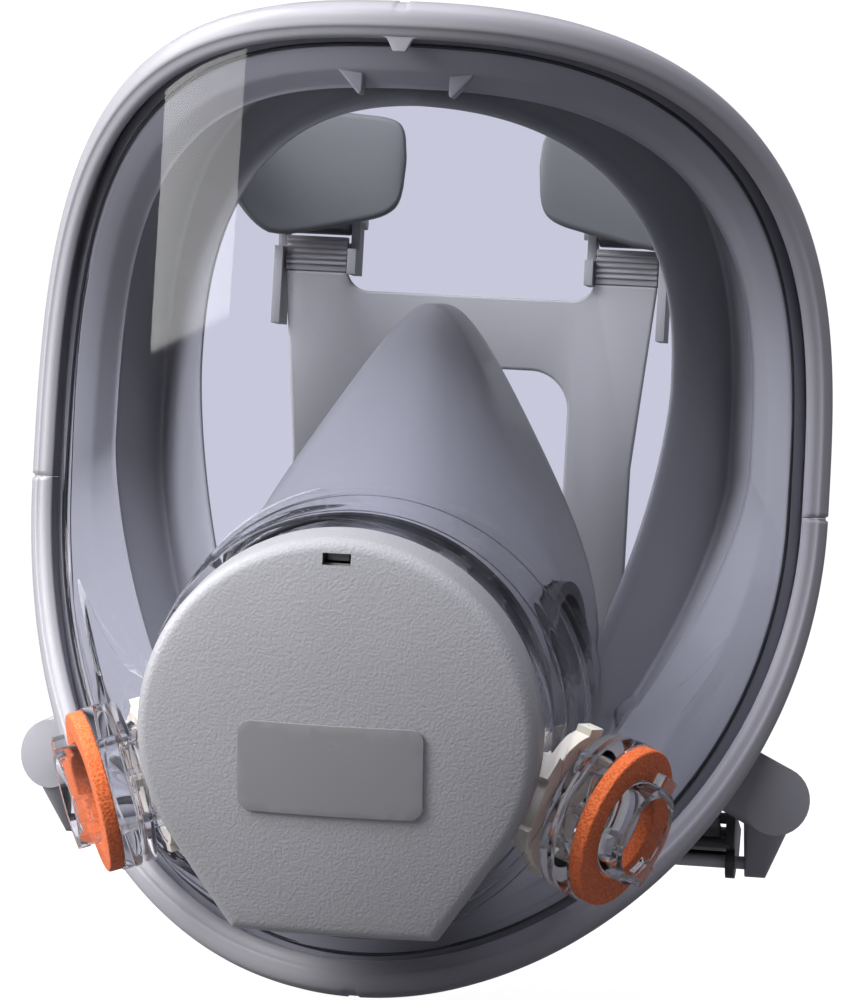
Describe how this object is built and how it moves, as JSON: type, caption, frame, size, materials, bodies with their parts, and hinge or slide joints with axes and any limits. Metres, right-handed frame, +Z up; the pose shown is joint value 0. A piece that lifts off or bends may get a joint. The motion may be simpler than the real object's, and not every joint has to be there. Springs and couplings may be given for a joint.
{
  "type": "full face respirator",
  "caption": "Full face respirator with a wrapped clear lens in a grey frame, face seal, nose cup, front valve cover, bayonet filter ports and a strap harness.",
  "frame": {"origin": "middle of the face-seal opening, where the wearer's face enters", "axes": "+X the viewer's right seen from the front, +Y back towards the wearer, +Z up"},
  "size_m": [0.199, 0.182, 0.2315],
  "materials": {
    "frame_grey": "satin moulded grey",
    "lens_clear": "clear polycarbonate",
    "seal_elastomer": "satin moulded elastomer",
    "cup_silicone": "smooth satin silicone",
    "valve_seat_plastic": "matt",
    "valve_silicone": "soft translucent",
    "adapter_plastic": "matt",
    "gasket_black": "matt",
    "cover_grey": "fine grained",
    "badge_grey": "polished, blank",
    "port_clear": "clear polycarbonate",
    "gasket_orange": "closed-cell foam",
    "ring_cream": "smooth",
    "buckle_dark": "satin",
    "harness_elastomer": "satin moulded elastomer",
    "screw_steel": "plain"
  },
  "bodies": {
    "mask": {"frame_upper": "frame_grey", "frame_lower": "frame_grey", "frame_screws": "screw_steel", "lens": "lens_clear", "lens_collar": "lens_clear", "face_seal": "seal_elastomer", "strap_tab_upper_right": "seal_elastomer", "strap_tab_upper_left": "seal_elastomer", "strap_tab_lower_right": "seal_elastomer", "strap_tab_lower_left": "seal_elastomer", "tab_pins": "screw_steel", "nose_cup": "cup_silicone", "nose_valve_seat_right": "valve_seat_plastic", "nose_valve_seat_left": "valve_seat_plastic", "center_adapter": "adapter_plastic", "adapter_gasket": "gasket_black", "bayonet_right": "port_clear", "bayonet_left": "port_clear", "port_gasket_right": "gasket_orange", "port_gasket_left": "gasket_orange", "inner_ring_right": "ring_cream", "inner_ring_left": "ring_cream", "buckle_lower_right": "buckle_dark", "buckle_lower_left": "buckle_dark"},
    "harness": {"buckle_upper_right": "buckle_dark", "buckle_upper_left": "buckle_dark", "harness_yoke": "harness_elastomer", "upper_strap_right": "harness_elastomer", "upper_strap_left": "harness_elastomer", "lower_strap_right": "harness_elastomer", "lower_strap_left": "harness_elastomer"},
    "cover": {"front_cover": "cover_grey", "cover_badge": "badge_grey"},
    "exhalation_flap": {"exhalation_valve": "valve_silicone"},
    "inhalation_flap_right": {"inhalation_valve_right": "valve_silicone"},
    "inhalation_flap_left": {"inhalation_valve_left": "valve_silicone"},
    "nose_flap_right": {"nose_valve_flap_right": "valve_silicone"},
    "nose_flap_left": {"nose_valve_flap_left": "valve_silicone"}
  },
  "joints": [
    {"name": "harness_swing", "type": "hinge", "parent": "mask", "child": "harness", "pos_m": [0, 0.0555, 0.07], "axis": [1, 0, 0], "range_deg": [-2.5, 6]},
    {"name": "cover_pull", "type": "slide", "parent": "mask", "child": "cover", "axis": [0, -0.9767, -0.2147], "range_m": [0, 0.03]},
    {"name": "exhalation_lift", "type": "slide", "parent": "mask", "child": "exhalation_flap", "axis": [0, -0.9767, -0.2147], "range_m": [0, 0.0025], "stiffness_N_per_m": 120},
    {"name": "inhalation_lift_right", "type": "slide", "parent": "mask", "child": "inhalation_flap_right", "axis": [-0.8936, 0.3288, 0.3057], "range_m": [0, 0.002], "stiffness_N_per_m": 80},
    {"name": "inhalation_lift_left", "type": "slide", "parent": "mask", "child": "inhalation_flap_left", "axis": [0.8936, 0.3288, 0.3057], "range_m": [0, 0.002], "stiffness_N_per_m": 80},
    {"name": "nose_lift_right", "type": "slide", "parent": "mask", "child": "nose_flap_right", "axis": [-0.9744, 0.225, 0], "range_m": [0, 0.002], "stiffness_N_per_m": 80},
    {"name": "nose_lift_left", "type": "slide", "parent": "mask", "child": "nose_flap_left", "axis": [0.9744, 0.225, 0], "range_m": [0, 0.002], "stiffness_N_per_m": 80}
  ]
}
